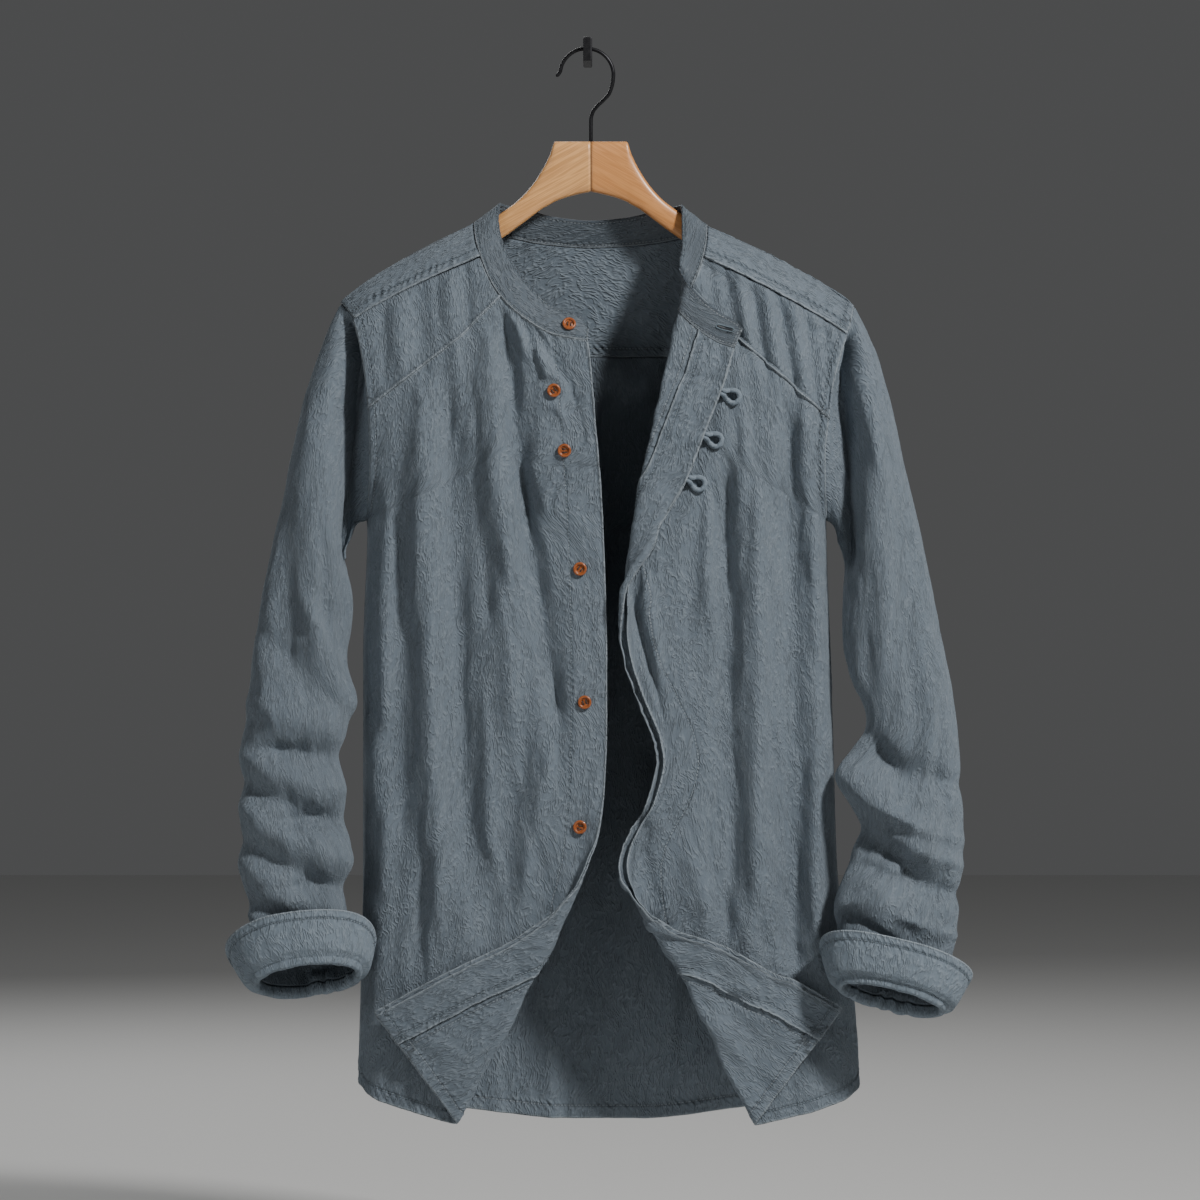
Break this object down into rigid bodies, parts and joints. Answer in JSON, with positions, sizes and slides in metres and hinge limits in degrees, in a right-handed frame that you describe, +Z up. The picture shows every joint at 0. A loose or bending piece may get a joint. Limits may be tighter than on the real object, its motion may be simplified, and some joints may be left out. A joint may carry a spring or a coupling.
{
  "type": "mandarin collar shirt on a hanger",
  "caption": "Long-sleeved shirt with a standing band collar, hanging open with its corners turned out, on a wooden hanger with a wire hook over a wall hook.",
  "frame": {"origin": "middle of the wall hook's flat back face, which lies on the wall; this is where the part is held", "axes": "+Z up, -Y out of the wall towards the viewer, +X towards the viewer's right; the shirt hangs below the origin"},
  "size_m": [0.6283, 0.1542, 0.9292],
  "materials": {
    "back": "soft slate blue-grey crinkled cotton, matte with a faint nap",
    "yoke": "soft slate blue-grey crinkled cotton, matte with a faint nap",
    "chest_button_side": "soft slate blue-grey crinkled cotton, matte with a faint nap",
    "chest_loop_side": "soft slate blue-grey crinkled cotton, matte with a faint nap",
    "front_button_side": "soft slate blue-grey crinkled cotton, matte with a faint nap",
    "front_loop_side": "soft slate blue-grey crinkled cotton, matte with a faint nap",
    "facing_button_side": "soft slate blue-grey crinkled cotton, matte with a faint nap",
    "facing_loop_side": "soft slate blue-grey crinkled cotton, matte with a faint nap",
    "collar_band": "soft slate blue-grey crinkled cotton, matte with a faint nap",
    "sleeve_left_front": "soft slate blue-grey crinkled cotton, matte with a faint nap",
    "sleeve_left_back": "soft slate blue-grey crinkled cotton, matte with a faint nap",
    "sleeve_right_front": "soft slate blue-grey crinkled cotton, matte with a faint nap",
    "sleeve_right_back": "soft slate blue-grey crinkled cotton, matte with a faint nap",
    "cuff_left": "soft slate blue-grey crinkled cotton, matte with a faint nap",
    "cuff_right": "soft slate blue-grey crinkled cotton, matte with a faint nap",
    "loop_1": "turned cord of the shirt's cloth",
    "loop_2": "turned cord of the shirt's cloth",
    "loop_3": "turned cord of the shirt's cloth",
    "button_1": "warm brown, half glossy, with a darker rim",
    "button_2": "warm brown, half glossy, with a darker rim",
    "button_3": "warm brown, half glossy, with a darker rim",
    "button_4": "warm brown, half glossy, with a darker rim",
    "button_5": "warm brown, half glossy, with a darker rim",
    "button_6": "warm brown, half glossy, with a darker rim",
    "hanger_wood_left": "smooth varnished maple-coloured wood",
    "hanger_wood_right": "smooth varnished maple-coloured wood",
    "hanger_hook": "black satin wire",
    "wall_hook": "dark satin"
  },
  "bodies": {
    "root": {"back": "back", "yoke": "yoke", "chest_button_side": "chest_button_side", "chest_loop_side": "chest_loop_side", "front_button_side": "front_button_side", "front_loop_side": "front_loop_side", "facing_button_side": "facing_button_side", "facing_loop_side": "facing_loop_side", "collar_band": "collar_band", "sleeve_left_front": "sleeve_left_front", "sleeve_left_back": "sleeve_left_back", "sleeve_right_front": "sleeve_right_front", "sleeve_right_back": "sleeve_right_back", "cuff_left": "cuff_left", "cuff_right": "cuff_right", "loop_1": "loop_1", "loop_2": "loop_2", "loop_3": "loop_3", "button_1": "button_1", "button_2": "button_2", "button_3": "button_3", "button_4": "button_4", "button_5": "button_5", "button_6": "button_6", "hanger_wood_left": "hanger_wood_left", "hanger_wood_right": "hanger_wood_right", "hanger_hook": "hanger_hook", "wall_hook": "wall_hook"}
  },
  "joints": []
}
